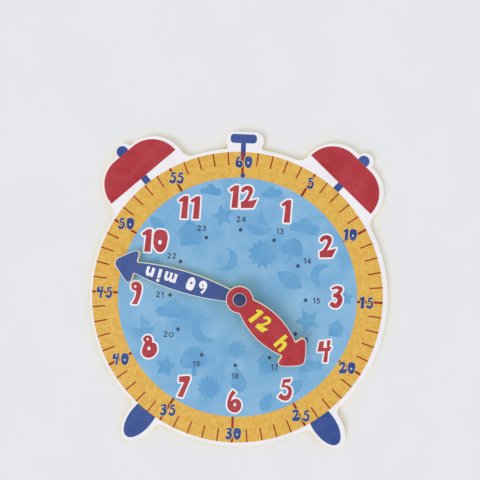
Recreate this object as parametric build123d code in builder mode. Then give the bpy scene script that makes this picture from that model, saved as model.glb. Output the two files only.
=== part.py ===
from build123d import *
from math import cos, radians, sin
import os

os.makedirs("parts", exist_ok=True)

# A teaching clock: a foam board die-cut in the outline of an alarm clock, with a printed facing,
# and two foam hands that turn on a snap rivet. It lies on its back with the face up (+Z) and
# 12 o'clock along +Y. The origin is on the pivot, at the back of the board. Sizes in millimetres,
# angles in degrees clockwise from 12 o'clock.

# Foam, facing film and print
board_thickness = 5.0
hand_thickness = 5.0
film_thickness = 0.3
ink_thickness = 0.1
edge_round = 0.5
running_gap = 0.3

# Printed dial
ring_outer_radius = 105.0
ring_width = 18.6
minute_mark_count = 60
minute_mark_length = 9.4
minute_mark_width = 0.9
five_minute_mark_count = 12
five_minute_mark_width = 1.7

# Bells, each a half slot on its flat edge, with a knob on top and a stem below
bell_angle = 40.3
bell_tilt = 42.4
bell_gap = 5.4
bell_width = 60.4
bell_height = 21.8
knob_radius = 4.2
knob_rise = 1.7
stem_width = 5.0

# Feet, each an ellipse that the ring cuts off
foot_angle = 36.5
foot_reach = 23.5
foot_width = 17.0
foot_length = 35.0

# Key above 12 o'clock, whose stem runs down over the ring. The corner of its bar is a share of its depth.
key_gap = 6.4
key_bar_width = 19.0
key_bar_depth = 6.4
key_bar_corner = 0.4
key_stem_width = 3.5
key_stem_overlap = 6.4

# Foam left around the print, and the rounded notches of the die-cut outline.
# The tab behind the key reaches a little into the board's circle.
ring_border = 2.6
bell_border = 2.2
knob_border = 1.9
foot_border = 2.7
tab_side_border = 4.1
tab_top_border = 1.8
tab_overlap = 1.9
bell_notch_round = 8.0
knob_notch_round = 1.5
foot_notch_round = 5.0
tab_notch_round = 1.6

# Register: the pivot is a little off the middle of the board, and the print sits a little to the left
pivot_shift_x = 0.5
pivot_shift_y = -0.5
print_shift_x = -1.0

# Hands: widths at the neck, the belly and the root of the arrowhead
neck_place = 4.0
neck_round = 2.5
hand_border = 0.45
pivot_border = 0.5
notch_round = 0.6

minute_angle = 284.5
minute_length = 94.4
minute_hub_radius = 9.0
minute_neck_width = 7.4
minute_belly_width = 15.2
minute_belly_place = 48.0
minute_root_width = 8.3
minute_head_length = 17.2
minute_head_width = 28.0
minute_head_rake = 0.3
minute_head_bulge = 0.5
minute_barb_round = 2.4
minute_tip_round = 4.5

hour_angle = 132.8
hour_length = 64.0
hour_hub_radius = 9.5
hour_neck_width = 11.2
hour_belly_width = 21.8
hour_belly_place = 30.7
hour_root_width = 13.4
hour_head_length = 15.3
hour_head_width = 29.2
hour_head_rake = 1.6
hour_head_bulge = 1.1
hour_barb_round = 2.45
hour_tip_round = 3.5

# Snap rivet: a flanged barrel from the back and a button from the front
post_radius = 2.5
post_clearance = 0.08
flange_radius = 7.0
flange_thickness = 1.2
flange_round = 0.4
seat_clearance = 0.15
post_wall = 0.86
barrel_floor = 0.8
pin_clearance = 0.04
pin_end_gap = 0.5
pin_lead = 0.4
bead_radius = 0.35
bead_rise = 2.7
head_radius = 4.4
head_rim = 0.9
head_dome = 1.0
head_round = 0.4

# Heights of the layers, from the back of the board to the rivet's head
face_base = board_thickness
print_base = face_base + film_thickness
marks_base = print_base + ink_thickness
minute_base = marks_base + ink_thickness + running_gap
minute_film_base = minute_base + hand_thickness
minute_print_base = minute_film_base + film_thickness
hour_base = minute_print_base + ink_thickness + running_gap
hour_film_base = hour_base + hand_thickness
hour_print_base = hour_film_base + film_thickness
head_base = hour_print_base + ink_thickness + running_gap

# Radii and distances from the dial's centre
ring_inner_radius = ring_outer_radius - ring_width
board_radius = ring_outer_radius + ring_border
bell_distance = ring_outer_radius + bell_gap
foot_distance = ring_outer_radius + foot_reach - foot_length / 2
key_bar_base = ring_outer_radius + key_gap
key_bar_top = key_bar_base + key_bar_depth
key_stem_foot = ring_outer_radius - key_stem_overlap
key_stem_length = key_bar_base - key_stem_foot
key_bar_round = key_bar_corner * key_bar_depth
tab_top = key_bar_top + tab_top_border
tab_depth = tab_top - board_radius + tab_overlap

# Fits of the rivet: the hands' holes on its post, and its pin in the post's bore
hole_radius = post_radius + post_clearance
bore_radius = post_radius - post_wall
pin_radius = bore_radius - pin_clearance
pin_end = barrel_floor + pin_end_gap
bead_height = pin_end + bead_rise

# Middle of the board and of the print, from the pivot
board_x = -pivot_shift_x
board_y = -pivot_shift_y
print_x = board_x + print_shift_x
print_y = board_y
print_plane = Plane((print_x, print_y, print_base))
marks_plane = Plane((print_x, print_y, marks_base))


def clock_place(angle, distance, tilt):
    """A place on the dial whose local Y points away from the dial, tilted from 12 o'clock."""
    place = (distance * sin(radians(angle)), distance * cos(radians(angle)), 0)
    return Location(place, (0, 0, -tilt))


def hand_plane(angle, height):
    """A plane at a height, whose local X runs along a hand that points at this angle."""
    direction = (sin(radians(angle)), cos(radians(angle)), 0)
    return Plane(origin=(0, 0, height), x_dir=direction, z_dir=(0, 0, 1))


def corners_on(outline, radius, center_height=0):
    """Corners of an outline that lie on a circle about the Y axis, from the lowest to the highest."""
    center = Vector(0, center_height)
    corners = outline.vertices().filter_by(lambda v: abs((Vector(v) - center).length - radius) < 0.001)
    return corners.sort_by(Axis.Y)


def hand_outlines(
    length,
    hub_radius,
    neck_width,
    belly_width,
    belly_place,
    root_width,
    head_length,
    head_width,
    head_rake,
    head_bulge,
    barb_round,
    tip_round,
):
    """Outline of a hand along local X, and of the printed field inside its white border.

    A hand has a round hub, a swelling shaft and a bulged arrowhead with raked barbs."""
    neck = Vector(neck_place, neck_width / 2)
    belly = Vector(belly_place, belly_width / 2)
    root = Vector(length - head_length, root_width / 2)
    barb = Vector(root.X + head_rake, head_width / 2)
    tip = Vector(length, 0)
    outlines = []
    for inset in (0, hand_border):
        with BuildSketch() as outline:
            with BuildLine():
                ThreePointArc(neck, belly, root)
                Line(root, barb)
                SagittaArc(barb, tip, head_bulge)
                mirror(about=Plane.XZ)
                Line(neck, (neck.X, -neck.Y))
            make_face()
            if inset:
                offset(amount=-inset, kind=Kind.INTERSECTION, mode=Mode.REPLACE)
            fillet(outline.vertices().sort_by_distance(tip)[0], tip_round - inset)
            for side in (-1, 1):
                fillet(outline.vertices().sort_by_distance((barb.X, side * barb.Y))[0], barb_round - inset)
                fillet(outline.vertices().sort_by_distance((root.X, side * root.Y))[0], notch_round + inset)
            Circle(hub_radius - inset)
            fillet(corners_on(outline, hub_radius - inset), neck_round + inset)
        outlines.append(outline.sketch)
    return outlines


bell_places = [
    clock_place(bell_angle, bell_distance, bell_tilt),
    clock_place(-bell_angle, bell_distance, -bell_tilt),
]
foot_places = [
    clock_place(180 - foot_angle, foot_distance, 180 - foot_angle),
    clock_place(180 + foot_angle, foot_distance, 180 + foot_angle),
]

# A printed bell, with the middle of its flat edge at the origin
with BuildSketch() as bell_shape:
    SlotOverall(bell_width, 2 * bell_height)
    Rectangle(bell_width, bell_height, align=(Align.CENTER, Align.MAX), mode=Mode.SUBTRACT)

# The part of the board behind a bell and its knob
with BuildSketch() as bell_lobe:
    SlotOverall(bell_width + 2 * bell_border, 2 * (bell_height + bell_border))
    with Locations((0, bell_height + knob_rise)):
        Circle(knob_radius + knob_border)
    fillet(corners_on(bell_lobe, knob_radius + knob_border, bell_height + knob_rise), knob_notch_round)

# The whole outline of the board, with rounded notches where the lobes leave the dial:
# from the bottom up, four at the feet, four at the bells and two at the tab
with BuildSketch() as board_outline:
    Circle(board_radius)
    with Locations(*bell_places):
        add(bell_lobe.sketch)
    with Locations(*foot_places):
        Ellipse(foot_width / 2 + foot_border, foot_length / 2 + foot_border)
    with Locations((0, tab_top - tab_depth / 2)):
        SlotOverall(key_bar_width + 2 * tab_side_border, tab_depth)
    fillet(corners_on(board_outline, board_radius)[:4], foot_notch_round)
    fillet(corners_on(board_outline, board_radius)[4:8], bell_notch_round)
    fillet(corners_on(board_outline, board_radius)[-2:], tab_notch_round)

minute_outline, minute_field = hand_outlines(
    minute_length,
    minute_hub_radius,
    minute_neck_width,
    minute_belly_width,
    minute_belly_place,
    minute_root_width,
    minute_head_length,
    minute_head_width,
    minute_head_rake,
    minute_head_bulge,
    minute_barb_round,
    minute_tip_round,
)
hour_outline, hour_field = hand_outlines(
    hour_length,
    hour_hub_radius,
    hour_neck_width,
    hour_belly_width,
    hour_belly_place,
    hour_root_width,
    hour_head_length,
    hour_head_width,
    hour_head_rake,
    hour_head_bulge,
    hour_barb_round,
    hour_tip_round,
)

# Foam board, with a soft back edge and a seat in the back for the rivet's flange
with BuildPart() as foam_board:
    with BuildSketch():
        with Locations((board_x, board_y)):
            add(board_outline.sketch)
    extrude(amount=board_thickness)
    fillet(foam_board.faces().sort_by(Axis.Z)[0].outer_wire().edges(), edge_round)
    with Locations(Location((0, 0, 0), (180, 0, 0))):
        CounterBoreHole(hole_radius, flange_radius + seat_clearance, flange_thickness, depth=board_thickness)
foam_board.part.label = "foam_board"
export_step(foam_board.part, "parts/foam_board.step")

# White facing film on the board
with BuildPart() as face_sheet:
    with BuildSketch(Plane.XY.offset(face_base)):
        with Locations((board_x, board_y)):
            add(board_outline.sketch)
        Circle(hole_radius, mode=Mode.SUBTRACT)
    extrude(amount=film_thickness)
face_sheet.part.label = "face_sheet"
export_step(face_sheet.part, "parts/face_sheet.step")

# Yellow minute ring, left open where the key's stem is printed
with BuildPart() as minute_ring_print:
    with BuildSketch(print_plane):
        Circle(ring_outer_radius)
        Circle(ring_inner_radius, mode=Mode.SUBTRACT)
        with Locations((0, key_stem_foot)):
            Rectangle(key_stem_width, key_stem_length, align=(Align.CENTER, Align.MIN), mode=Mode.SUBTRACT)
    extrude(amount=ink_thickness)
minute_ring_print.part.label = "minute_ring_print"
export_step(minute_ring_print.part, "parts/minute_ring_print.step")

# Blue dial disc, open at the pivot
with BuildPart() as dial_print:
    with BuildSketch(print_plane):
        Circle(ring_inner_radius)
        with Locations((-print_x, -print_y)):
            Circle(hole_radius, mode=Mode.SUBTRACT)
    extrude(amount=ink_thickness)
dial_print.part.label = "dial_print"
export_step(dial_print.part, "parts/dial_print.step")

# Red bells
with BuildPart() as bell_prints:
    with BuildSketch(print_plane):
        with Locations(*bell_places):
            add(bell_shape.sketch)
    extrude(amount=ink_thickness)
bell_prints.part.label = "bell_prints"
export_step(bell_prints.part, "parts/bell_prints.step")

# Navy knobs, bell stems and feet, cut off by the bells and the ring, and the key
with BuildPart() as navy_prints:
    with BuildSketch(print_plane):
        with Locations(*bell_places):
            with Locations((0, bell_height + knob_rise)):
                Circle(knob_radius)
            Rectangle(stem_width, bell_distance - ring_inner_radius, align=(Align.CENTER, Align.MAX))
            add(bell_shape.sketch, mode=Mode.SUBTRACT)
        with Locations(*foot_places):
            Ellipse(foot_width / 2, foot_length / 2)
        Circle(ring_outer_radius, mode=Mode.SUBTRACT)
        with Locations((0, key_bar_base)):
            RectangleRounded(key_bar_width, key_bar_depth, key_bar_round, align=(Align.CENTER, Align.MIN))
            Rectangle(key_stem_width, key_stem_length, align=(Align.CENTER, Align.MAX))
    extrude(amount=ink_thickness)
navy_prints.part.label = "navy_prints"
export_step(navy_prints.part, "parts/navy_prints.step")

# Minute marks printed over the ring: short ones, and one across the ring every five minutes
with BuildPart() as minute_marks:
    with BuildSketch(marks_plane):
        with PolarLocations(ring_outer_radius - minute_mark_length / 2, minute_mark_count):
            Rectangle(minute_mark_length, minute_mark_width)
        with PolarLocations((ring_outer_radius + ring_inner_radius) / 2, five_minute_mark_count):
            Rectangle(ring_outer_radius - ring_inner_radius, five_minute_mark_width)
    extrude(amount=ink_thickness)
minute_marks.part.label = "minute_marks"
export_step(minute_marks.part, "parts/minute_marks.step")

# Minute hand: foam, white film, and a blue print with a white border and pivot ring
with BuildPart() as minute_hand_foam:
    with BuildSketch(hand_plane(minute_angle, minute_base)):
        add(minute_outline)
        Circle(hole_radius, mode=Mode.SUBTRACT)
    extrude(amount=hand_thickness)
    fillet(minute_hand_foam.faces().sort_by(Axis.Z)[0].outer_wire().edges(), edge_round)
minute_hand_foam.part.label = "minute_hand_foam"
export_step(minute_hand_foam.part, "parts/minute_hand_foam.step")

with BuildPart() as minute_hand_sheet:
    with BuildSketch(hand_plane(minute_angle, minute_film_base)):
        add(minute_outline)
        Circle(hole_radius, mode=Mode.SUBTRACT)
    extrude(amount=film_thickness)
minute_hand_sheet.part.label = "minute_hand_sheet"
export_step(minute_hand_sheet.part, "parts/minute_hand_sheet.step")

with BuildPart() as minute_hand_print:
    with BuildSketch(hand_plane(minute_angle, minute_print_base)):
        add(minute_field)
        Circle(head_radius + pivot_border, mode=Mode.SUBTRACT)
    extrude(amount=ink_thickness)
minute_hand_print.part.label = "minute_hand_print"
export_step(minute_hand_print.part, "parts/minute_hand_print.step")

# Hour hand, on top of the minute hand: foam, white film and a red print
with BuildPart() as hour_hand_foam:
    with BuildSketch(hand_plane(hour_angle, hour_base)):
        add(hour_outline)
        Circle(hole_radius, mode=Mode.SUBTRACT)
    extrude(amount=hand_thickness)
    fillet(hour_hand_foam.faces().sort_by(Axis.Z)[0].outer_wire().edges(), edge_round)
hour_hand_foam.part.label = "hour_hand_foam"
export_step(hour_hand_foam.part, "parts/hour_hand_foam.step")

with BuildPart() as hour_hand_sheet:
    with BuildSketch(hand_plane(hour_angle, hour_film_base)):
        add(hour_outline)
        Circle(hole_radius, mode=Mode.SUBTRACT)
    extrude(amount=film_thickness)
hour_hand_sheet.part.label = "hour_hand_sheet"
export_step(hour_hand_sheet.part, "parts/hour_hand_sheet.step")

with BuildPart() as hour_hand_print:
    with BuildSketch(hand_plane(hour_angle, hour_print_base)):
        add(hour_field)
        Circle(head_radius + pivot_border, mode=Mode.SUBTRACT)
    extrude(amount=ink_thickness)
hour_hand_print.part.label = "hour_hand_print"
export_step(hour_hand_print.part, "parts/hour_hand_print.step")

# Rivet barrel: a flange let in flush with the back of the board, and the hollow post that the hands
# turn on. A groove in the bore takes the bead of the button's pin.
with BuildPart() as rivet_barrel:
    with BuildSketch(Plane.XZ) as barrel_profile:
        Rectangle(flange_radius, flange_thickness, align=Align.MIN)
        fillet(barrel_profile.vertices().sort_by(Axis.X)[-2:], flange_round)
        Rectangle(post_radius, head_base, align=Align.MIN)
        with Locations((0, barrel_floor)):
            Rectangle(bore_radius, head_base - barrel_floor, align=Align.MIN, mode=Mode.SUBTRACT)
        with Locations((pin_radius, bead_height)):
            Circle(bead_radius + pin_clearance, mode=Mode.SUBTRACT)
    revolve(axis=Axis.Z)
rivet_barrel.part.label = "rivet_barrel"
export_step(rivet_barrel.part, "parts/rivet_barrel.step")

# Rivet button: a low domed head, and a pin with a bead that snaps into the barrel
with BuildPart() as rivet_button:
    with BuildSketch(Plane.XZ) as button_profile:
        with BuildLine():
            dome = TangentArc(
                (0, head_base + head_rim + head_dome), (head_radius, head_base + head_rim), tangent=(1, 0)
            )
            Polyline(dome @ 1, (head_radius, head_base), (0, head_base), dome @ 0)
        make_face()
        fillet(button_profile.vertices().sort_by_distance(dome @ 1)[0], head_round)
        with Locations((0, pin_end)):
            Rectangle(pin_radius, head_base - pin_end, align=Align.MIN)
        chamfer(button_profile.vertices().sort_by_distance((pin_radius, pin_end))[0], pin_lead)
        with Locations((pin_radius, bead_height)):
            Circle(bead_radius)
    revolve(axis=Axis.Z)
rivet_button.part.label = "rivet_button"
export_step(rivet_button.part, "parts/rivet_button.step")
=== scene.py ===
from math import atan2, cos, pi, radians, sin, tau

import bmesh
import bpy
from mathutils import Matrix, Vector
from mathutils.geometry import delaunay_2d_cdt, interpolate_bezier


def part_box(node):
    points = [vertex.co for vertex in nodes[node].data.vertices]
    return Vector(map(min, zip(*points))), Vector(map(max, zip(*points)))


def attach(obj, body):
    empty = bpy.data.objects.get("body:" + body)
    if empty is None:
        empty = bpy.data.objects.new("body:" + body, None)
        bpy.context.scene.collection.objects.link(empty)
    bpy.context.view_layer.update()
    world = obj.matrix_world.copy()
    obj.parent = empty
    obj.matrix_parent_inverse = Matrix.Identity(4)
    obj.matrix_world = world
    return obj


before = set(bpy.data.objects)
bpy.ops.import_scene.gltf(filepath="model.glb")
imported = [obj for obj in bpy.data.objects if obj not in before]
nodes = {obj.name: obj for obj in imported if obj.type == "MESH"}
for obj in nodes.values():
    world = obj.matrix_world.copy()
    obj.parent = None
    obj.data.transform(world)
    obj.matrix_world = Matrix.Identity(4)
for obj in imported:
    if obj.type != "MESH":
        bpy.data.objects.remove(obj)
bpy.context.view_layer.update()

# The clock lies on its back: the face looks up (+Z) and 12 o'clock is along +Y.
# Places on the print are in millimetres from the middle of the printed dial, with +Y to 12 o'clock.
MM = 0.001


def middle(node):
    """Middle of a CAD node's box."""
    low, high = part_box(node)
    return (low + high) / 2


def top(node):
    """Height of a CAD node's highest point."""
    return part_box(node)[1].z


print_middle = middle("dial_print")
print_top = top("dial_print")
marks_top = top("minute_marks")

# Heights of the print layers above the CAD print, and how far they sink into it
ink_sink = 0.02 * MM
motif_rise = 0.02 * MM
halo_rise = 0.045 * MM
halo_step = 0.006 * MM
hour_rise = 0.08 * MM
small_rise = 0.05 * MM
minute_rise = 0.04 * MM
clear_rise = 0.012 * MM
counter_rise = 0.026 * MM
label_rise = 0.04 * MM

# Flat shapes are in millimetres, or in the units of their glyph.
# A handle's length is the way to the next point, divided so that points on a circle give a circle.
curve_steps = 7
straight_steps = 2
handle_divisor = 2.5614
corner_handle = 1 / 3
pen_sides = 14
hole_sides = 20
dot_sides = 28
straight_enough = 0.025
weld_distance = 1e-5
inside_faces = 1


def smooth_outline(points, closed=True):
    """Points along a curve through the given points. A point with a third value is a corner."""
    places = [Vector(p[:2]) for p in points]
    count = len(points)
    handles = []
    for i, place in enumerate(places):
        before = places[i - 1] if closed or i else None
        after = places[(i + 1) % count] if closed or i < count - 1 else None
        if len(points[i]) > 2 or before is None or after is None:
            handles.append((
                place.lerp(before, corner_handle) if before else place,
                place.lerp(after, corner_handle) if after else place,
            ))
            continue
        back, ahead = (place - before).length, (after - place).length
        along = (after - place) / ahead + (place - before) / back
        along /= along.length * handle_divisor
        handles.append((place - along * back, place + along * ahead))
    line = []
    for i in range(count if closed else count - 1):
        j = (i + 1) % count
        straight = len(points[i]) > 2 and len(points[j]) > 2
        steps = straight_steps if straight else curve_steps
        line += interpolate_bezier(places[i], handles[i][1], handles[j][0], places[j], steps)[:-1]
    if not closed:
        line.append(places[-1])
    return [Vector(p[:2]) for p in line]


def disc(center, radius, sides, squash=1.0):
    """Points around an ellipse."""
    x, y = center
    turns = [tau * i / sides for i in range(sides)]
    return [Vector((x + radius * cos(turn), y + squash * radius * sin(turn))) for turn in turns]


def pen(line, width, closed=False):
    """The loops that a round pen covers along a line."""
    loops = [disc(p, width / 2, pen_sides) for p in line]
    for start, end in zip(line, line[1:] + line[:1] if closed else line[1:]):
        side = (end - start).orthogonal().normalized() * width / 2
        loops.append([start + side, start - side, end - side, end + side])
    return loops


def swollen(loops, width):
    """Loops with a pen line of this width along each."""
    return [*loops, *(band for loop in loops for band in pen(loop, width, closed=True))]


def area(loop):
    """Twice the area inside a loop, which is negative where it runs clockwise."""
    return sum(a.cross(b) for a, b in zip(loop, loop[1:] + loop[:1]))


def covered(loops, holes):
    """Points and triangles of the ground that the loops cover and the holes don't."""
    points, faces = [], []
    for loop in [*loops, *holes]:
        faces.append(list(range(len(points), len(points) + len(loop))))
        points += loop if area(loop) > 0 else loop[::-1]
    result = delaunay_2d_cdt(points, [], faces, inside_faces, weld_distance)
    places, _, triangles, _, _, sources = result
    kept = [t for t, s in zip(triangles, sources) if s and all(i < len(loops) for i in s)]
    return places, kept


def rims(points, triangles):
    """Loops round some ground, without the points that lie on a nearly straight run."""
    sides = dict.fromkeys((a, b) for t in triangles for a, b in zip(t, [*t[1:], t[0]]))
    ahead = {}
    for a, b in sides:
        if (b, a) not in sides:
            ahead.setdefault(a, []).append(b)
    loops = []
    while ahead:
        here = next(iter(ahead))
        loop = []
        while here in ahead:
            loop.append(points[here])
            after = ahead[here].pop()
            if not ahead[here]:
                del ahead[here]
            here = after
        kept = loop[:1]
        for place, following in zip(loop[1:], loop[2:] + loop[:1]):
            if abs((following - kept[-1]).normalized().cross(place - kept[-1])) > straight_enough:
                kept.append(place)
        loops.append(kept)
    return loops


def region(loops, holes=()):
    """The covered ground with no more points than its rims need."""
    edges = [loop for loop in rims(*covered(loops, holes)) if len(loop) > 2]
    return covered([loop for loop in edges if area(loop) > 0], [loop for loop in edges if area(loop) < 0])


def slab(flat, place, low, high):
    """A closed slab over a flat region, between two heights, as a mesh in metres."""
    points, triangles = flat
    shape = bmesh.new()
    corners = [shape.verts.new((*p, 0.0)) for p in points]
    for triangle in triangles:
        shape.faces.new([corners[i] for i in triangle])
    bmesh.ops.delete(shape, geom=[v for v in shape.verts if not v.link_faces], context="VERTS")
    shape.transform(Matrix.Translation((0, 0, low)) @ place @ Matrix.Diagonal((MM, MM, MM, 1)))
    lid = bmesh.ops.extrude_face_region(shape, geom=shape.faces[:])
    lift = [v for v in lid["geom"] if isinstance(v, bmesh.types.BMVert)]
    bmesh.ops.translate(shape, verts=lift, vec=(0, 0, high - low))
    bmesh.ops.recalc_face_normals(shape, faces=shape.faces[:])
    mesh = bpy.data.meshes.new("slab")
    shape.to_mesh(mesh)
    shape.free()
    return mesh


def on_print(x, y, turn=0.0, size=1.0):
    """A place on the printed dial."""
    move = Matrix.Translation((print_middle.x + x * MM, print_middle.y + y * MM, 0))
    return move @ Matrix.Rotation(turn, 4, "Z") @ Matrix.Diagonal((size, size, 1, 1))


def layer(name, slabs, body, material):
    """One piece of print made of slabs, which rides on a body."""
    shape = bmesh.new()
    for mesh in slabs:
        shape.from_mesh(mesh)
        bpy.data.meshes.remove(mesh)
    mesh = bpy.data.meshes.new(name)
    shape.to_mesh(mesh)
    shape.free()
    mesh.materials.append(material)
    piece = bpy.data.objects.new(name, mesh)
    bpy.context.scene.collection.objects.link(piece)
    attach(piece, body)


# Materials. Sizes and depths of textures are in millimetres, and a relief is its size, depth and strength.
white = (1, 1, 1, 1)
blotch_detail = 4.0
ripple_detail = 2.0
tone_low = 0.3
tone_high = 0.7
noise_low = 0.25
noise_high = 0.75

# Ink on satin film
ink_low = 0.32
ink_high = 0.68
ink_rough = 0.6
ink_warp = 0.6
grain_size = 0.55
grain_low = 0.35
grain_high = 0.6
grain_share = 0.5
gloss_patch = 2.2
film_roughness = (0.38, 0.52)
film_specular = 0.25
film_wave = (6.0, 0.12, 0.35)
film_pores = (0.9, 0.03, 0.4)

# Closed-cell foam
foam_drift = 9.0
foam_patch = 1.5
foam_roughness = (0.7, 0.9)
foam_specular = 0.3
cell_size = 0.42
foam_dents = (7.0, 0.1, 0.4)
foam_cells = (cell_size, 0.1, 0.6)
foam_skin = (0.2, 0.03, 0.5)
pit_tone = (228, 218, 200)
pit_low = 0.05
pit_high = 0.45
pit_share = 0.6

# Moulded plastic
plastic_drift = 3.0
wear_size = 0.8
wear_detail = 5.0
wear_rough = 0.7
plastic_roughness = (0.40, 0.56)
plastic_specular = 0.35
plastic_flow = (1.6, 0.02, 0.3)
plastic_grain = (0.15, 0.006, 0.4)


def srgb(red, green, blue):
    """A colour in screen values from 0 to 255, as a shader takes it."""
    values = (v / 255 for v in (red, green, blue))
    return (*(v / 12.92 if v <= 0.04045 else ((v + 0.055) / 1.055) ** 2.4 for v in values), 1.0)


class Look:
    """A material with a Principled shader, whose textures are sized in millimetres on the object."""

    def __init__(self, name):
        self.material = bpy.data.materials.new(name)
        self.material.use_nodes = True
        self.tree = self.material.node_tree
        self.shader = self.tree.nodes["Principled BSDF"]
        self.place = self.tree.nodes.new("ShaderNodeTexCoord").outputs["Object"]

    def node(self, kind, **settings):
        node = self.tree.nodes.new(kind)
        for key, value in settings.items():
            setattr(node, key, value)
        return node

    def link(self, source, target):
        self.tree.links.new(source, target)

    def noise(self, size, detail=3.0, rough=0.55, warp=0.0):
        """Noise whose blotches are about this many millimetres wide."""
        node = self.node("ShaderNodeTexNoise")
        node.inputs["Scale"].default_value = 1 / (size * MM)
        node.inputs["Detail"].default_value = detail
        node.inputs["Roughness"].default_value = rough
        node.inputs["Distortion"].default_value = warp
        self.link(self.place, node.inputs["Vector"])
        return node.outputs["Fac"]

    def ripple(self, size):
        """Smooth noise with little fine detail."""
        return self.noise(size, ripple_detail)

    def cells(self, size):
        """Distance to the nearest of scattered points, this many millimetres apart."""
        node = self.node("ShaderNodeTexVoronoi", feature="F1")
        node.inputs["Scale"].default_value = 1 / (size * MM)
        self.link(self.place, node.inputs["Vector"])
        return node.outputs["Distance"]

    def ramp(self, source, stops):
        """Colours along a value, each stop a position and a colour."""
        node = self.node("ShaderNodeValToRGB")
        band = node.color_ramp
        while len(band.elements) < len(stops):
            band.elements.new(0.5)
        for element, (position, colour) in zip(band.elements, stops):
            element.position = position
            element.color = colour
        self.link(source, node.inputs["Fac"])
        return node.outputs["Color"]

    def drift(self, source, tones):
        """A soft change along a value between two tones."""
        first, second = tones
        return self.ramp(source, [(tone_low, srgb(*first)), (tone_high, srgb(*second))])

    def shade(self, share, tone, dark):
        """A colour multiplied by a share of another."""
        node = self.node("ShaderNodeMix", data_type="RGBA", blend_type="MULTIPLY")
        node.inputs["Factor"].default_value = share
        self.link(tone, node.inputs["A"])
        self.link(dark, node.inputs["B"])
        return node.outputs["Result"]

    def spread(self, source, low, high):
        """A noise's value brought between two others."""
        node = self.node("ShaderNodeMapRange")
        node.inputs["From Min"].default_value = noise_low
        node.inputs["From Max"].default_value = noise_high
        node.inputs["To Min"].default_value = low
        node.inputs["To Max"].default_value = high
        self.link(source, node.inputs["Value"])
        return node.outputs["Result"]

    def colour(self, source):
        self.link(source, self.shader.inputs["Base Color"])

    def roughness(self, source, low, high):
        self.link(self.spread(source, low, high), self.shader.inputs["Roughness"])

    def specular(self, level):
        self.shader.inputs["Specular IOR Level"].default_value = level

    def relief(self, *bumps):
        """Bumps on top of each other, each a texture with its size, depth and strength."""
        normal = None
        for texture, (size, depth, strength) in bumps:
            node = self.node("ShaderNodeBump")
            node.inputs["Distance"].default_value = depth * MM
            node.inputs["Strength"].default_value = strength
            self.link(texture(size), node.inputs["Height"])
            if normal:
                self.link(normal, node.inputs["Normal"])
            normal = node.outputs["Normal"]
        self.link(normal, self.shader.inputs["Normal"])


def printed(name, tones, blotch, grain_tone):
    """Ink on facing film: blotches between its tones, a fine grain, and foam that shows through."""
    look = Look(name)
    step = (ink_high - ink_low) / (len(tones) - 1)
    stops = [(ink_low + i * step, srgb(*tone)) for i, tone in enumerate(tones)]
    body = look.ramp(look.noise(blotch, blotch_detail, ink_rough, ink_warp), stops)
    grain = look.ramp(look.ripple(grain_size), [(grain_low, srgb(*grain_tone)), (grain_high, white)])
    look.colour(look.shade(grain_share, body, grain))
    look.roughness(look.noise(gloss_patch), *film_roughness)
    look.relief((look.ripple, film_wave), (look.ripple, film_pores))
    look.specular(film_specular)
    return look.material


def foam(name, tones):
    """Closed-cell foam: fine cells, larger dents and a soft colour drift."""
    look = Look(name)
    body = look.drift(look.noise(foam_drift, blotch_detail), tones)
    pits = look.ramp(look.cells(cell_size), [(pit_low, srgb(*pit_tone)), (pit_high, white)])
    look.colour(look.shade(pit_share, body, pits))
    look.roughness(look.noise(foam_patch), *foam_roughness)
    look.relief((look.ripple, foam_dents), (look.cells, foam_cells), (look.ripple, foam_skin))
    look.specular(foam_specular)
    return look.material


def plastic(name, tones):
    """Moulded plastic with a faint flow pattern and fine wear."""
    look = Look(name)
    look.colour(look.drift(look.noise(plastic_drift, blotch_detail), tones))
    look.roughness(look.noise(wear_size, wear_detail, wear_rough), *plastic_roughness)
    look.relief((look.ripple, plastic_flow), (look.ripple, plastic_grain))
    look.specular(plastic_specular)
    return look.material


# Each ink has its tones, the width of its blotches and the tone of its grain
foam_yellow = foam("foam_yellow", [(252, 227, 110), (255, 240, 134)])
film_white = printed("film_white", [(240, 236, 238), (246, 243, 244)], 14.0, (242, 240, 242))
ring_yellow = printed(
    "ring_yellow", [(216, 165, 62), (222, 174, 74), (227, 182, 84), (231, 190, 98)], 3.0, (246, 236, 216)
)
ring_pale = printed("ring_pale", [(228, 186, 92), (233, 194, 106)], 4.0, (246, 236, 216))
edge_yellow = printed("edge_yellow", [(228, 188, 98), (232, 196, 112)], 3.0, (246, 236, 216))
dial_blue = printed(
    "dial_blue", [(112, 168, 210), (124, 176, 214), (134, 182, 217), (143, 188, 220)], 26.0, (228, 238, 246)
)
motif_blue = printed("motif_blue", [(92, 156, 203), (103, 163, 206), (114, 170, 210)], 16.0, (228, 238, 246))
bell_red = printed("bell_red", [(167, 34, 48), (179, 52, 62), (185, 68, 76)], 24.0, (238, 216, 218))
print_navy = printed("print_navy", [(34, 66, 136), (54, 80, 146), (66, 90, 150)], 18.0, (222, 228, 240))
mark_red = printed("mark_red", [(124, 38, 18), (154, 42, 28), (182, 52, 48)], 6.0, (232, 206, 200))
numeral_red = printed("numeral_red", [(168, 46, 58), (176, 57, 67), (182, 70, 78)], 12.0, (240, 218, 220))
numeral_navy = printed("numeral_navy", [(32, 60, 130), (46, 72, 140), (61, 84, 148)], 6.0, (220, 226, 240))
small_slate = printed("small_slate", [(54, 66, 90), (68, 80, 102)], 3.0, (226, 228, 234))
counter_cream = printed("counter_cream", [(226, 206, 150), (234, 216, 166)], 3.0, (244, 238, 222))
hand_blue = printed("hand_blue", [(56, 78, 140), (64, 86, 146), (72, 92, 150)], 16.0, (226, 230, 240))
hand_red = printed("hand_red", [(172, 41, 50), (179, 51, 60), (185, 64, 71)], 9.0, (240, 218, 220))
label_white = printed("label_white", [(238, 236, 238), (247, 246, 246)], 5.0, (238, 238, 242))
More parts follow.
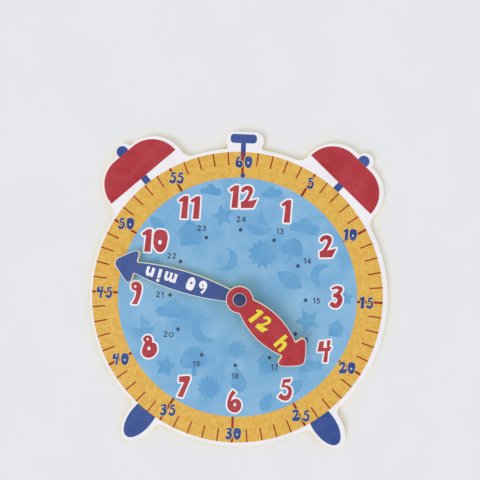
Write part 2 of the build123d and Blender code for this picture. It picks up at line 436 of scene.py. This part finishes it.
label_yellow = printed("label_yellow", [(230, 212, 52), (238, 222, 70)], 4.0, (240, 234, 206))
rivet_navy = plastic("rivet_navy", [(38, 46, 90), (50, 58, 104)])

NODE_LOOKS = {
    "foam_board": foam_yellow,
    "face_sheet": film_white,
    "minute_ring_print": ring_yellow,
    "dial_print": dial_blue,
    "bell_prints": bell_red,
    "navy_prints": print_navy,
    "minute_marks": mark_red,
    "minute_hand_foam": foam_yellow,
    "minute_hand_sheet": film_white,
    "minute_hand_print": hand_blue,
    "hour_hand_foam": foam_yellow,
    "hour_hand_sheet": film_white,
    "hour_hand_print": hand_red,
    "rivet_barrel": rivet_navy,
    "rivet_button": rivet_navy,
}
for name, material in NODE_LOOKS.items():
    nodes[name].data.materials.clear()
    nodes[name].data.materials.append(material)


# Chunky numerals and letters, about 16 units tall, drawn from the lower left corner.
# A point marked C is a corner, and the others lie on a curve.
# A hole or a dot is the x and y of its middle, its half width and its half height.
C = True
GLYPHS = {
    "0": (
        [(5.0, 16.35), (8.5, 15.3), (10.1, 11.8), (9.8, 6.8), (8.5, 2.5), (5.4, 0), (2.3, 1.2), (0.1, 5.6),
         (0, 10.6), (0.7, 14.4), (2.6, 16.1)],
        [(4.7, 7.2, 1.35, 1.6)],
    ),
    "1": (
        [(0, 13.1, C), (2.9, 15.5), (4.3, 16.3), (7.2, 16.35, C), (6.7, 0, C), (2.2, 0, C), (3.1, 12.4, C),
         (1.2, 11.5, C)],
        [],
    ),
    "2": (
        [(0, 12.4, C), (0.5, 14.1), (3.2, 16.2), (6.2, 16.3), (8.5, 14.5), (8.4, 11.1), (6.9, 8.0),
         (5.5, 5.2, C), (12.2, 7.1, C), (9.4, 0.6, C), (0.6, 0, C), (0.2, 4.4, C), (2.5, 5.6), (4.4, 8.6),
         (5.6, 11.7), (5.2, 13.2), (3.9, 13.3), (2.6, 12.3), (1.4, 11.1, C)],
        [],
    ),
    "3": (
        [(0.9, 14.2, C), (3.2, 15.6), (6.3, 16.1), (8.8, 15.0), (9.1, 13.0), (7.4, 10.4, C), (9.0, 8.4),
         (9.4, 6.2), (8.6, 3.1), (6.6, 0.6), (4.4, 0), (1.6, 0.8), (0, 2.8, C), (2.2, 5.0, C), (2.9, 4.0),
         (4.2, 3.4), (5.4, 4.5), (5.6, 6.2), (4.6, 7.5), (2.5, 7.7, C), (2.5, 10.2, C), (4.1, 10.8),
         (5.5, 11.9), (6.1, 13.2), (5.2, 13.9), (3.5, 13.7), (1.9, 13.1, C)],
        [],
    ),
    "4": (
        [(1.3, 15.0, C), (4.7, 15.3, C), (4.1, 10.6, C), (6.7, 10.6, C), (6.6, 16.0, C), (9.4, 16.2, C),
         (8.6, 11.4, C), (10.2, 11.4, C), (8.9, 8.4, C), (7.8, 8.2, C), (7.4, 0, C), (4.4, 0.3, C),
         (5.4, 8.1, C), (0, 7.5, C)],
        [],
    ),
    "5": (
        [(3.3, 15.3, C), (9.1, 16.2, C), (8.3, 13.4, C), (4.8, 13.1, C), (4.4, 11.2, C), (6.1, 11.3),
         (8.6, 10.2), (9.9, 7.6), (9.5, 4.0), (7.8, 0.9), (5.3, 0), (2.2, 0.9), (0, 2.5, C), (2.2, 5.6, C),
         (3.0, 4.5), (5.0, 3.6), (6.8, 4.9), (7.3, 7.0), (6.3, 8.9), (4.6, 9.7), (2.2, 9.3, C)],
        [],
    ),
    "6": (
        [(3.5, 16.25, C), (6.1, 14.4, C), (3.7, 11.4), (2.5, 8.0, C), (4.4, 9.5), (6.6, 10.0), (9.1, 8.6),
         (10.2, 5.8), (9.6, 2.7), (7.5, 0.4), (5.4, 0), (2.8, 0.8), (0.7, 3.0), (0, 6.4), (0.7, 10.5),
         (1.9, 13.7)],
        [(5.5, 5.8, 0.95, 1.35)],
    ),
    "7": (
        [(0.9, 15.0, C), (8.4, 15.8, C), (8.9, 13.4, C), (3.9, 0, C), (0, 0.6, C), (4.6, 11.0, C),
         (0.8, 10.9, C)],
        [],
    ),
    "8": (
        [(3.6, 16.2), (5.9, 15.3), (7.0, 13.1), (6.7, 11.4, C), (9.6, 10.3), (10.7, 7.5), (10.3, 4.1),
         (8.1, 1.2), (5.3, 0), (1.9, 0.6), (0.1, 2.8), (0, 6.2), (1.2, 9.6), (1.8, 11.2, C), (0.4, 12.5),
         (0.6, 14.3), (1.9, 15.7)],
        [(3.6, 13.4, 0.85, 0.85), (4.8, 6.8, 1.1, 1.4)],
    ),
    "9": (
        [(3.4, 16.35), (5.9, 15.6), (7.3, 13.4), (7.2, 8.1), (4.7, 0, C), (0.6, 0.1, C), (2.8, 4.3),
         (3.7, 8.6), (3.5, 9.9, C), (1.4, 10.2), (0, 12.2), (0.2, 14.6), (1.6, 16.0)],
        [(2.8, 12.8, 0.9, 0.9)],
    ),
    "m": (
        [(0.2, 11.3, C), (3.6, 11.6, C), (3.7, 10.2, C), (5.4, 11.4), (7.6, 11.3), (8.9, 9.9, C),
         (10.8, 11.4), (13.4, 11.2), (14.8, 9.0), (15.2, 0.1, C), (11.6, 0, C), (11.4, 7.2), (10.6, 8.0),
         (9.7, 7.2), (9.5, 0.2, C), (5.9, 0, C), (5.8, 7.3), (5.0, 8.0), (4.0, 7.0), (3.8, 0, C),
         (0, 0.2, C)],
        [],
    ),
    "i": ([(0.3, 11.3, C), (4.1, 11.6, C), (3.9, 0, C), (0, 0.2, C)], []),
    "n": (
        [(0.2, 11.3, C), (3.7, 11.6, C), (3.8, 10.1, C), (5.6, 11.5), (8.2, 11.3), (9.8, 9.0),
         (10.2, 0.1, C), (6.5, 0, C), (6.3, 7.0), (5.3, 7.9), (4.2, 6.9), (3.9, 0, C), (0, 0.2, C)],
        [],
    ),
    "h": (
        [(0.4, 16.0, C), (4.2, 16.3, C), (4.0, 9.8, C), (5.8, 11.2), (8.4, 11.0), (10.0, 8.8),
         (10.4, 0.1, C), (6.7, 0, C), (6.5, 6.8), (5.4, 7.7), (4.3, 6.7), (4.0, 0, C), (0, 0.2, C)],
        [],
    ),
}
DOTS = {"i": (2.2, 14.6, 2.1, 2.0)}
glyph_height = 16.2
word_gap = 9.0


def glyph(character):
    """Outer loops and holes of a character."""
    points, holes = GLYPHS[character]
    loops = [smooth_outline(points)]
    if character in DOTS:
        x, y, wide, high = DOTS[character]
        loops.append(disc((x, y), wide, hole_sides, high / wide))
    return loops, [disc((x, y), wide, hole_sides, high / wide) for x, y, wide, high in holes]


def line_of(text, gap):
    """Characters of a line with their places from its middle."""
    placed, x = [], 0.0
    for character in text:
        if character == " ":
            x += word_gap
            continue
        width = max(p[0] for p in GLYPHS[character][0])
        placed.append((character, x))
        x += width + gap
    return [(character, place - (x - gap) / 2) for character, place in placed]


# Hour numerals, red with a white edge, and the places of their middles
HOURS = {
    "12": (1.2, 72.4), "1": (32.5, 63.3), "2": (63.8, 39.0), "3": (71.2, 3.0), "4": (64.3, -36.5),
    "5": (37.0, -65.3), "6": (0.7, -75.3), "7": (-36.2, -65.8), "8": (-61.9, -38.2), "9": (-73.3, 0.1),
    "10": (-61.5, 38.3), "11": (-37.5, 63.4),
}
hour_gap = 1.4
hour_edge = 1.2
hour_slabs, edge_slabs = [], []
for text, (x, y) in HOURS.items():
    for i, (character, place) in enumerate(line_of(text, hour_gap)):
        loops, holes = glyph(character)
        spot = on_print(x + place, y - glyph_height / 2)
        halo = region(swollen(loops, 2 * hour_edge))
        halo_top = print_top + halo_rise + i * halo_step
        edge_slabs.append(slab(halo, spot, print_top - ink_sink, halo_top))
        hour_slabs.append(slab(region(loops, holes), spot, halo_top - ink_sink, print_top + hour_rise))
layer("hour_numeral_edges", edge_slabs, "board", label_white)
layer("hour_numerals", hour_slabs, "board", numeral_red)

# Minute numerals on the ring: place and the gap between the digits
MINUTES = {
    "60": (0.7, 97.7, 3.0), "5": (49.1, 84.4, 0.0), "10": (79.4, 48.2, 2.0), "15": (93.0, -0.4, 2.4),
    "20": (81.1, -48.0, 0.5), "25": (49.1, -83.7, 2.0), "30": (0.7, -98.7, 2.4), "35": (-47.2, -83.4, 2.4),
    "40": (-82.7, -48.0, 2.6), "45": (-96.3, -0.2, 2.0), "50": (-82.7, 49.9, 2.8), "55": (-47.6, 84.4, 0.6),
}
minute_size = 0.51
minute_bold = 0.45
minute_edge = 0.55
minute_around = minute_bold + 2 * minute_edge / minute_size
minute_slabs, clear_slabs, counter_slabs = [], [], []
for text, (x, y, gap) in MINUTES.items():
    for i, (character, place) in enumerate(line_of(text, gap)):
        spot = on_print(x + place * minute_size, y - glyph_height * minute_size / 2, 0.0, minute_size)
        loops, holes = glyph(character)
        bold = region(swollen(loops, minute_bold), holes)
        minute_slabs.append(slab(bold, spot, print_top - ink_sink, marks_top + minute_rise))
        for hole in holes:
            counter_slabs.append(slab(region([hole]), spot, print_top - ink_sink, marks_top + counter_rise))
        clear = region(swollen(loops, minute_around))
        clear_top = marks_top + clear_rise + i * halo_step
        clear_slabs.append(slab(clear, spot, print_top - ink_sink, clear_top))

# Ball at the inner end of the mark at 60
ball_place = (0.4, 88.1)
ball_radius = 1.6
ball = region([disc((0, 0), ball_radius, dot_sides)])
minute_slabs.append(slab(ball, on_print(*ball_place), print_top - ink_sink, marks_top + minute_rise))
layer("minute_numerals", minute_slabs, "board", numeral_navy)
layer("minute_numeral_edges", clear_slabs, "board", edge_yellow)
layer("minute_numeral_counters", counter_slabs, "board", counter_cream)

# Small numerals 13 to 24, thin round-ended strokes about 4 mm tall, and a dot at each hour
STROKES = {
    "0": [("closed", [(1.6, 0.3), (3.0, 1.75), (1.6, 3.2), (0.2, 1.75)])],
    "1": [("open", [(0.2, 3.0, C), (1.1, 3.6, C), (1.1, 0.3, C)])],
    "2": [("open", [(0.4, 2.7), (1.3, 3.6), (2.2, 2.8), (1.7, 1.8), (0.3, 0.3, C), (2.4, 0.3, C)])],
    "3": [("open", [(0.4, 3.3), (1.2, 3.6), (2.0, 2.8), (1.1, 2.1, C), (2.2, 1.2), (1.2, 0.3), (0.2, 0.7)])],
    "4": [("open", [(1.9, 0.3, C), (1.9, 3.6, C), (0.2, 1.3, C), (2.6, 1.3, C)])],
    "5": [
        ("open", [(2.1, 3.5, C), (0.9, 3.5, C), (0.6, 2.1, C), (1.4, 2.3), (2.2, 1.3), (1.3, 0.3),
                  (0.3, 0.6)]),
    ],
    "6": [
        ("closed", [(1.4, 0.3), (2.5, 1.4), (1.4, 2.5), (0.3, 1.4)]),
        ("open", [(0.5, 1.9, C), (1.7, 3.6, C)]),
    ],
    "7": [("open", [(0.3, 3.5, C), (2.3, 3.5, C), (0.9, 0.3, C)])],
    "8": [
        ("closed", [(1.3, 0.3), (2.3, 1.25), (1.3, 2.1), (0.3, 1.25)]),
        ("closed", [(1.3, 2.1), (2.1, 2.85), (1.3, 3.6), (0.5, 2.85)]),
    ],
    "9": [
        ("closed", [(1.4, 1.4), (2.5, 2.5), (1.4, 3.6), (0.3, 2.5)]),
        ("open", [(2.3, 2.0, C), (1.1, 0.3, C)]),
    ],
}
stroke_width = 0.66
stroke_gap = 1.1
small_height = 3.9
small_size = 1.08
small_radius = 56.7
dot_ring_radius = 49.0
dot_radius = 1.35
pattern_shift = Vector((0.3, -0.3))
hour_step = tau / 12
dot = region([disc((0, 0), dot_radius, dot_sides)])
small_slabs = []
for hour in range(13, 25):
    angle = hour_step * hour
    toward = Vector((sin(angle), cos(angle)))
    digits = str(hour)
    widths = [max(p[0] for _, line in STROKES[d] for p in line) for d in digits]
    x, y = toward * small_radius + pattern_shift
    x -= (sum(widths) + stroke_gap) * small_size / 2
    for digit, width in zip(digits, widths):
        loops = []
        for kind, line in STROKES[digit]:
            closed = kind == "closed"
            loops += pen(smooth_outline(line, closed), stroke_width, closed)
        spot = on_print(x, y - small_height * small_size / 2, 0.0, small_size)
        small_slabs.append(slab(region(loops), spot, print_top - ink_sink, print_top + small_rise))
        x += (width + stroke_gap) * small_size
    spot = on_print(*(toward * dot_ring_radius + pattern_shift))
    small_slabs.append(slab(dot, spot, print_top - ink_sink, print_top + small_rise))
layer("day_hour_numerals", small_slabs, "board", small_slate)


def burst(tips, even, odd, *mark):
    """A ring of points at two radii in turn, as corners where they are marked so."""
    turns = [(odd if i % 2 else even, pi * i / tips) for i in range(2 * tips)]
    return [(radius * sin(turn), radius * cos(turn), *mark) for radius, turn in turns]


# Tone-on-tone motifs over the dial: shape, place, turn in degrees and size
CLOUD = [
    (-10, -4, C), (-11.5, -1), (-9, 2), (-6, 2.2), (-4, 6), (1, 6.5), (4, 3.6), (8, 3.8), (10.5, 0.5),
    (9, -4, C),
]
MOON = [(2, 8, C), (-5, 6), (-8, 0), (-5, -6), (2, -8, C), (-1.5, -4), (-2.6, 0), (-1.5, 4)]
LEAF = [(0, -10, C), (4.6, -4), (5, 2), (0, 10, C), (-5, 2), (-4.6, -4)]
STAR = burst(5, 8.5, 4.2, C)
SUN = burst(12, 6.8, 8.8)
TREE = [
    (-1.6, -10, C), (-1.6, -4.4, C), (-6, -4.6), (-9, -0.5), (-6.8, 4.6), (-2.4, 8.6), (3, 8.6), (7, 4.6),
    (9, -0.5), (6, -4.6), (1.6, -4.4, C), (1.6, -10, C),
]
HOUSE = [(-7, -8, C), (-7, 1, C), (-9.5, 1, C), (0, 9, C), (9.5, 1, C), (7, 1, C), (7, -8, C)]
BOAT = [
    (-9.5, -3, C), (-1, -3, C), (-1, 9, C), (6.5, -1.5, C), (0.8, -1.5, C), (0.8, -3, C), (9.5, -3, C),
    (6.5, -8), (-6.5, -8),
]
DROP = [(0, 10, C), (4.6, 1.5), (5.4, -4), (0, -9), (-5.4, -4), (-4.6, 1.5)]
MOTIFS = [
    (BOAT, 14, 55, -6, 1.0), (STAR, -13, 58, 15, 1.0), (SUN, 17, 32, 0, 1.2),
    (CLOUD, 47, 52, -10, 1.0), (LEAF, 37, 14, 60, 1.1), (MOON, 61, 18, -20, 1.1),
    (STAR, 51, -15, 25, 1.1), (CLOUD, 55, -48, 14, 0.8), (HOUSE, 24, -46, 8, 1.0),
    (DROP, 3, -60, 12, 1.0), (MOON, -22, -24, 30, 1.3), (CLOUD, -45, -12, -6, 1.2),
    (STAR, -50, -52, -10, 1.0), (SUN, -18, -66, 0, 1.0), (TREE, -30, -47, 6, 1.1),
    (CLOUD, 22, 76, 4, 0.7), (MOON, -10, 27, 160, 1.1), (LEAF, 43, -64, -50, 0.9),
    (HOUSE, -36, 45, 10, 1.1), (DROP, -62, 20, -30, 0.9), (TREE, 38, 36, -12, 0.9),
    (SUN, 1, -38, 10, 0.8), (BOAT, -68, -22, 8, 0.9), (LEAF, -60, 50, 40, 0.8),
    (CLOUD, -22, 76, -6, 0.7), (STAR, 78, 2, 10, 0.7), (HOUSE, 72, -20, -8, 0.7),
    (DROP, 24, -75, -24, 0.8),
]
motif_slabs = []
for shape, x, y, turn, size in MOTIFS:
    spot = on_print(x, y, radians(turn), size)
    flat = region([smooth_outline(shape)])
    motif_slabs.append(slab(flat, spot, print_top - ink_sink, print_top + motif_rise))
layer("dial_motifs", motif_slabs, "board", motif_blue)

# Faint outlines between the numerals of the ring: radius, size and sides of each in turn
RING_SHAPES = [(99.4, 3.6, dot_sides), (91.2, 3.0, 6), (96.6, 4.4, dot_sides), (92.0, 3.4, 5)]
ring_line = 0.7
ring_spots = 32
ring_spin = 3
outline_slabs = []
for i in range(ring_spots):
    angle = tau * (i + 0.5) / ring_spots
    out, size, sides = RING_SHAPES[i % len(RING_SHAPES)]
    spot = on_print(out * sin(angle), out * cos(angle), ring_spin * angle)
    flat = region([disc((0, 0), size, sides)], [disc((0, 0), size - ring_line, sides)])
    outline_slabs.append(slab(flat, spot, print_top - ink_sink, print_top + motif_rise))
layer("ring_motifs", outline_slabs, "board", ring_pale)


# Labels on the hands, which run from the hub to the tip
def hand_label(name, node, text, body, material, start, height, gap, drops, tilts):
    """A line of characters along a hand, each tilted a little, that begins this far from the pivot."""
    tip = max((v.co for v in nodes[node].data.vertices), key=lambda p: p.xy.length)
    along = Matrix.Rotation(atan2(tip.y, tip.x), 4, "Z")
    size = height / glyph_height
    line = line_of(text, gap)
    first = line[0][1]
    slabs = []
    for (character, place), drop, tilt in zip(line, drops, tilts):
        x = start + (place - first) * size
        y = drop - height / 2
        move = Matrix.Translation((x * MM, y * MM, 0)) @ Matrix.Rotation(radians(tilt), 4, "Z")
        spot = along @ move @ Matrix.Diagonal((size, size, 1, 1))
        slabs.append(slab(region(*glyph(character)), spot, top(node) - ink_sink, top(node) + label_rise))
    layer(name, slabs, body, material)


hand_label(
    "minute_hand_label", "minute_hand_print", "60 min", "minute_hand", label_white,
    start=24.6, height=9.4, gap=4.6, drops=(-0.3, -0.3, 0.7, 0.4, 1.1), tilts=(0, -2, 0, 2, 0),
)
hand_label(
    "hour_hand_label", "hour_hand_print", "12 h", "hour_hand", label_yellow,
    start=12.5, height=11.4, gap=4.4, drops=(0.2, 0.2, 0.2), tilts=(-4, 2, -3),
)


# Stage: floor, light and camera
floor_half = 3.0
floor_drop = 0.05 * MM
floor_tones = [(231, 231, 234), (234, 234, 236)]
floor_patch = 60.0
floor_roughness = 0.9
floor_specular = 0.1
floor_mesh = bpy.data.meshes.new("floor")
floor_mesh.from_pydata(
    [(x * floor_half, y * floor_half, -floor_drop) for x, y in ((-1, -1), (1, -1), (1, 1), (-1, 1))],
    [],
    [(0, 1, 2, 3)],
)
floor = bpy.data.objects.new("floor", floor_mesh)
bpy.context.scene.collection.objects.link(floor)
floor_look = Look("floor")
floor_look.colour(floor_look.drift(floor_look.noise(floor_patch), floor_tones))
floor_look.shader.inputs["Roughness"].default_value = floor_roughness
floor_look.specular(floor_specular)
floor_mesh.materials.append(floor_look.material)


def soft_light(name, toward, spread, strength):
    """A far light from one side, whose spread in degrees softens its shadows."""
    lamp = bpy.data.lights.new(name, "SUN")
    lamp.angle = radians(spread)
    lamp.energy = strength
    light = bpy.data.objects.new(name, lamp)
    light.rotation_euler = Vector(toward).to_track_quat("Z", "Y").to_euler()
    bpy.context.scene.collection.objects.link(light)


soft_light("key", toward=(-0.50, -0.55, 0.95), spread=34.0, strength=0.95)
soft_light("fill", toward=(0.6, 0.5, 1.1), spread=60.0, strength=0.4)

# The sky lights the clock, and rays from the camera and from gloss see a paler backdrop
sky_tone = (238, 240, 244)
sky_strength = 0.74
backdrop_tone = (244, 244, 245)
backdrop_strength = 1.0
world = bpy.data.worlds.new("studio")
world.use_nodes = True
bpy.context.scene.world = world
sky = world.node_tree
ambient = sky.nodes["Background"]
ambient.inputs["Color"].default_value = srgb(*sky_tone)
ambient.inputs["Strength"].default_value = sky_strength
backdrop = sky.nodes.new("ShaderNodeBackground")
backdrop.inputs["Color"].default_value = srgb(*backdrop_tone)
backdrop.inputs["Strength"].default_value = backdrop_strength
path = sky.nodes.new("ShaderNodeLightPath")
seen = path.outputs["Is Camera Ray"]
for ray in ("Is Glossy Ray", "Is Transmission Ray"):
    either = sky.nodes.new("ShaderNodeMath")
    either.operation = "MAXIMUM"
    sky.links.new(seen, either.inputs[0])
    sky.links.new(path.outputs[ray], either.inputs[1])
    seen = either.outputs[0]
choice = sky.nodes.new("ShaderNodeMixShader")
sky.links.new(seen, choice.inputs["Fac"])
sky.links.new(ambient.outputs[0], choice.inputs[1])
sky.links.new(backdrop.outputs[0], choice.inputs[2])
sky.links.new(choice.outputs[0], sky.nodes["World Output"].inputs["Surface"])

# The camera looks straight down from above the upper half of the dial
camera_height = 0.360
camera_over = (0.15, 41.34)
camera_roll = radians(2.28)
camera_lens = 37.37
camera_sensor = 36.0
camera_near = 0.01
lens = bpy.data.cameras.new("camera")
lens.sensor_width = camera_sensor
lens.lens = camera_lens
lens.clip_start = camera_near
camera = bpy.data.objects.new("camera", lens)
camera.location = on_print(*camera_over).translation + Vector((0, 0, print_top + camera_height))
camera.rotation_euler = (0, 0, camera_roll)
bpy.context.scene.collection.objects.link(camera)
bpy.context.scene.camera = camera
bpy.context.scene.view_settings.view_transform = "Standard"
